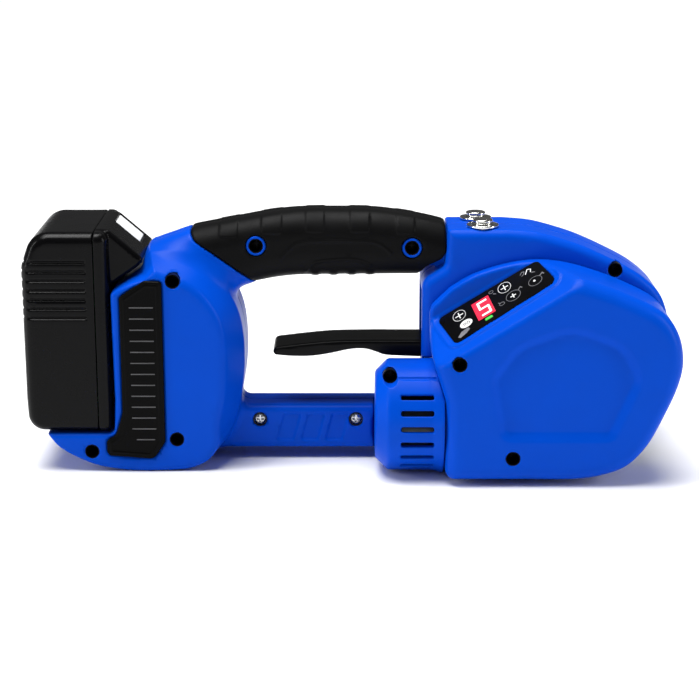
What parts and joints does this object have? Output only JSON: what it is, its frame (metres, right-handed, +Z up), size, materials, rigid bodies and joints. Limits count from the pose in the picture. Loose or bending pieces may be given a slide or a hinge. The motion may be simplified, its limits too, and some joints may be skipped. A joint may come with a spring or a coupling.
{
  "type": "strapping machine",
  "caption": "Hand-held battery strapping tool: moulded shells, rubber grip, rocker lever, tension wheel, friction-weld shoe and slide-on battery pack.",
  "frame": {"origin": "middle of the tool's footprint, on the plane that it rests on", "axes": "+X from the battery to the head's nose, -Y toward the gear cover, +Y toward the open strap track, +Z up"},
  "size_m": [0.352, 0.13, 0.14],
  "materials": {
    "blue_shell": "injection-moulded glass-filled nylon, saturated blue, satin gloss",
    "grip_rubber": "black thermoplastic rubber, matt with fine grain",
    "panel_film": "printed black polycarbonate membrane",
    "red_lens": "red digit display behind a clear window",
    "green_lens": "green indicator lens",
    "circuit_board": "glass-epoxy circuit board with green mask",
    "black_plastic": "black moulded plastic, satin",
    "pale_plastic": "pale moulded plastic",
    "cell_wrap": "shrink-wrapped lithium cells",
    "brass_contact": "stamped contact blades in their block",
    "bright_steel": "turned stainless steel",
    "machined_steel": "ground and turned steel",
    "dark_steel": "blackened hardened steel",
    "cast_aluminium": "die-cast aluminium",
    "screw_steel": "black-oxide steel screws"
  },
  "bodies": {
    "machine": {"handle_shell_near": "blue_shell", "handle_shell_far": "blue_shell", "gear_cover": "blue_shell", "motor_barrel": "blue_shell", "side_cover": "blue_shell", "grip_near": "grip_rubber", "grip_far": "grip_rubber", "bumper_pad_near": "grip_rubber", "bumper_pad_far": "grip_rubber", "drive_belt": "grip_rubber", "control_panel": "panel_film", "led_display": "red_lens", "status_led": "green_lens", "panel_board": "circuit_board", "controller_board": "circuit_board", "battery_rail_plate": "black_plastic", "terminal_block": "brass_contact", "tension_button_bezel": "bright_steel", "weld_button_bezel": "bright_steel", "cross_shaft_bearing": "machined_steel", "base_plate": "machined_steel", "strap_guide": "machined_steel", "rocker_pivot_pin": "machined_steel", "rocker_spring": "machined_steel", "motor_can": "dark_steel", "tension_insert": "dark_steel", "weld_anvil": "dark_steel", "casting": "cast_aluminium", "tail_screw_top": "screw_steel", "tail_screw_front": "screw_steel", "tail_screw_rear": "screw_steel", "bar_screw_rear": "screw_steel", "bar_screw_front": "screw_steel", "grip_screw_rear": "screw_steel", "grip_screw_front": "screw_steel", "housing_screw": "screw_steel", "barrel_screw": "screw_steel", "cover_screw_top": "screw_steel", "cover_screw_low": "screw_steel"},
    "battery": {"battery_case": "black_plastic", "battery_cover": "black_plastic", "cell_row_back": "cell_wrap", "cell_row_front": "cell_wrap", "battery_board": "circuit_board"},
    "release": {"battery_release_button": "pale_plastic"},
    "tension_key": {"tension_button": "bright_steel"},
    "weld_key": {"weld_button": "bright_steel"},
    "rocker_arm": {"rocker": "cast_aluminium", "lever": "black_plastic", "tension_gearbox": "dark_steel"},
    "wheel": {"tension_wheel": "machined_steel"},
    "rotor": {"motor_shaft": "machined_steel", "cooling_fan": "black_plastic"},
    "cross_drive": {"cross_shaft": "machined_steel", "bevel_gear": "machined_steel", "drive_pulley": "cast_aluminium"},
    "eccentric_drive": {"eccentric_shaft": "machined_steel", "driven_pulley": "cast_aluminium"},
    "shoe": {"weld_shoe": "dark_steel"},
    "blade": {"cutter": "dark_steel"}
  },
  "joints": [
    {"name": "battery_slide", "type": "slide", "parent": "machine", "child": "battery", "axis": [0, 0, 1], "range_m": [0, 0.095]},
    {"name": "battery_release_press", "type": "slide", "parent": "battery", "child": "release", "axis": [-0.6542, 0, -0.7563], "range_m": [0, 0.0022], "stiffness_N_per_m": 500},
    {"name": "tension_button_press", "type": "slide", "parent": "machine", "child": "tension_key", "axis": [0, 0, -1], "range_m": [0, 0.002], "stiffness_N_per_m": 800},
    {"name": "weld_button_press", "type": "slide", "parent": "machine", "child": "weld_key", "axis": [0, 0, -1], "range_m": [0, 0.002], "stiffness_N_per_m": 800},
    {"name": "rocker_lift", "type": "hinge", "parent": "machine", "child": "rocker_arm", "pos_m": [0.1, 0.033, 0.031], "axis": [0, 1, 0], "range_deg": [0, 12], "stiffness_Nm_per_rad": 8, "deforming": ["rocker_spring"]},
    {"name": "tension_wheel_spin", "type": "hinge", "parent": "rocker_arm", "child": "wheel", "pos_m": [0.056, 0.051, 0.0248], "axis": [0, 1, 0], "continuous": true},
    {"name": "motor_spin", "type": "hinge", "parent": "machine", "child": "rotor", "pos_m": [0.05, -0.03, 0.031], "axis": [1, 0, 0], "continuous": true},
    {"name": "cross_shaft_spin", "type": "hinge", "parent": "machine", "child": "cross_drive", "pos_m": [0.1, -0.03, 0.031], "axis": [0, 1, 0], "continuous": true},
    {"name": "eccentric_spin", "type": "hinge", "parent": "machine", "child": "eccentric_drive", "pos_m": [0.138, -0.03, 0.044], "axis": [0, 1, 0], "continuous": true},
    {"name": "weld_shoe_vibration", "type": "slide", "parent": "machine", "child": "shoe", "axis": [1, 0, 0], "range_m": [-0.0012, 0.0012]},
    {"name": "cutter_stroke", "type": "slide", "parent": "machine", "child": "blade", "axis": [0, 0, -1], "range_m": [0, 0.0024], "stiffness_N_per_m": 900}
  ],
  "couplings": [
    {"joint": "cross_shaft_spin", "follows": "motor_spin", "ratio": -0.5},
    {"joint": "eccentric_spin", "follows": "motor_spin", "ratio": -0.75}
  ]
}
